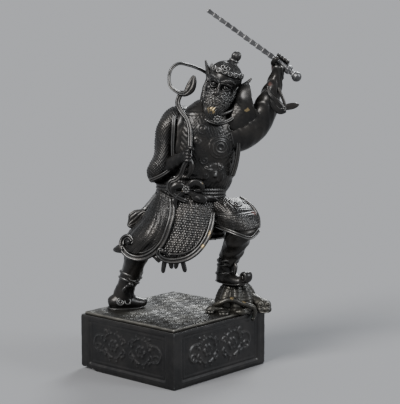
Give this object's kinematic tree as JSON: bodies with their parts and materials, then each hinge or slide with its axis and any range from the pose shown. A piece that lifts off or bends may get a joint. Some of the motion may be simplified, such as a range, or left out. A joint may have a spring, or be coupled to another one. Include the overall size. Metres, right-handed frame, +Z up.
{
  "type": "bronze warrior figure",
  "caption": "Cast bronze warrior in armour lunging with a raised jointed whip, one boot on a domed beast, on its own framed box plinth.",
  "frame": {"origin": "on the resting plane, under the centre of the whole object's box", "axes": "+Z up; X and Y along the plinth's sides; the warrior lunges towards +X and -Y"},
  "size_m": [0.1816, 0.2054, 0.4433],
  "materials": {
    "plinth_bronze": "near-black patinated bronze, satin, worn lighter along the edges",
    "ground_bronze": "near-black bronze with green verdigris and traces of gilding in the hollows",
    "figure_bronze": "near-black patinated bronze, satin, with traces of gilding and red lacquer",
    "whip_metal": "silvery grey, darker between the joints"
  },
  "bodies": {
    "root": {"plinth": "plinth_bronze", "ground": "ground_bronze", "figure": "figure_bronze", "whip": "whip_metal"}
  },
  "joints": []
}
